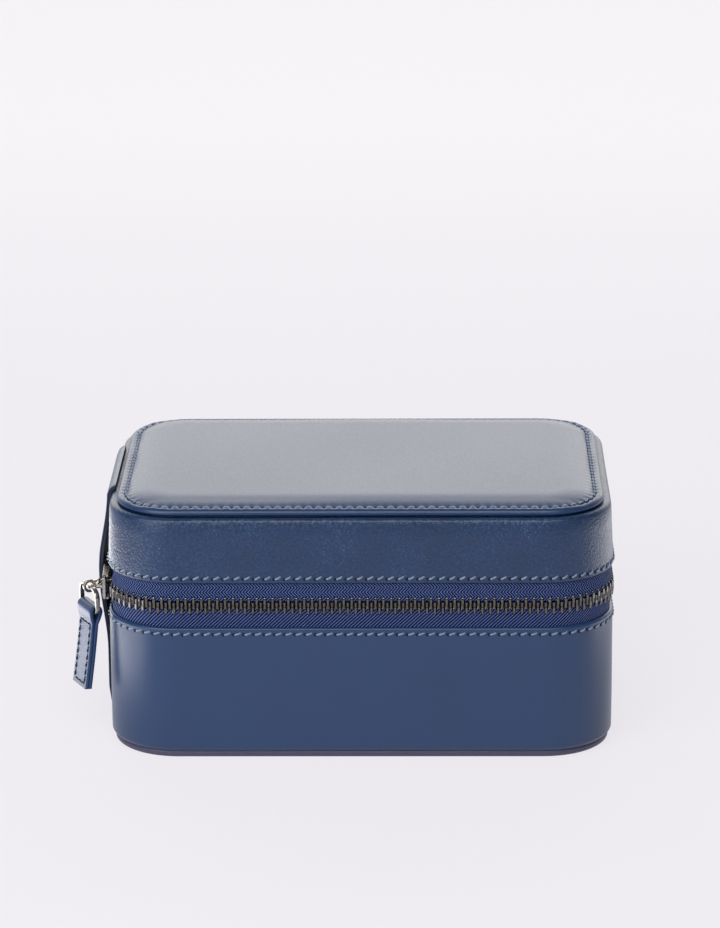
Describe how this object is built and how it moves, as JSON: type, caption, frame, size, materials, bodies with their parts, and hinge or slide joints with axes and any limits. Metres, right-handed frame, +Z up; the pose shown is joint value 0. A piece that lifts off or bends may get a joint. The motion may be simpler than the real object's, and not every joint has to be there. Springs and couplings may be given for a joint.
{
  "type": "jewellery case",
  "caption": "Rounded leather jewellery case: a zip round its middle, a leather hinge strap on one end, a padded lid and lined compartments with ring rolls.",
  "frame": {"origin": "middle of the flat underside of the case", "axes": "+X along the width, away from the hinge strap; -Y is the front; +Z up through the lid"},
  "size_m": [0.1778, 0.1126, 0.0856],
  "materials": {
    "navy_leather": "semi-gloss smooth grain",
    "zip_tape": "woven twill",
    "suede": "matt nap",
    "board": "plain",
    "foam": "plain",
    "gunmetal": "satin",
    "pewter": "polished"
  },
  "bodies": {
    "base": {"base_sole": "navy_leather", "base_board": "board", "base_band": "navy_leather", "base_lining": "suede", "roll_bed": "suede", "ring_roll_1": "suede", "ring_roll_2": "suede", "ring_roll_3": "suede", "ring_roll_4": "suede", "divider_long": "suede", "divider_cross_1": "suede", "divider_cross_2": "suede", "lower_tape": "zip_tape", "lower_teeth": "gunmetal", "hinge_gusset": "suede", "hinge_strap": "navy_leather"},
    "lid": {"lid_band": "navy_leather", "lid_board": "board", "lid_foam": "foam", "lid_top": "navy_leather", "lid_lining": "suede", "lid_pad": "suede", "upper_tape": "zip_tape", "upper_teeth": "gunmetal"},
    "slider": {"slider_shell": "pewter", "slider_bridge": "pewter"},
    "link": {"pull_link": "pewter"},
    "ring": {"pull_ring": "pewter"},
    "tab": {"pull_tab": "navy_leather"}
  },
  "joints": [
    {"name": "lid_hinge", "type": "hinge", "parent": "base", "child": "lid", "pos_m": [-0.0847, 0, 0.0525], "axis": [0, -1, 0], "range_deg": [0, 95], "deforming": ["hinge_strap", "hinge_gusset"]},
    {"name": "slider_travel", "type": "hinge", "parent": "base", "child": "slider", "pos_m": [-0.0595, -0.033, 0.0525], "axis": [0, 0, 1], "range_deg": [0, 90], "deforming": ["lower_tape", "lower_teeth", "upper_tape", "upper_teeth"]},
    {"name": "link_swing", "type": "hinge", "parent": "slider", "child": "link", "pos_m": [-0.08615, -0.0325, 0.0525], "axis": [-0.454, 0.891, 0], "range_deg": [-3, 8]},
    {"name": "ring_swing", "type": "hinge", "parent": "link", "child": "ring", "pos_m": [-0.08897, -0.03394, 0.05205], "axis": [-0.454, 0.891, 0], "range_deg": [-3, 40]},
    {"name": "tab_swing", "type": "hinge", "parent": "ring", "child": "tab", "pos_m": [-0.08897, -0.03394, 0.04446], "axis": [-0.454, 0.891, 0], "range_deg": [-2, 30]}
  ]
}
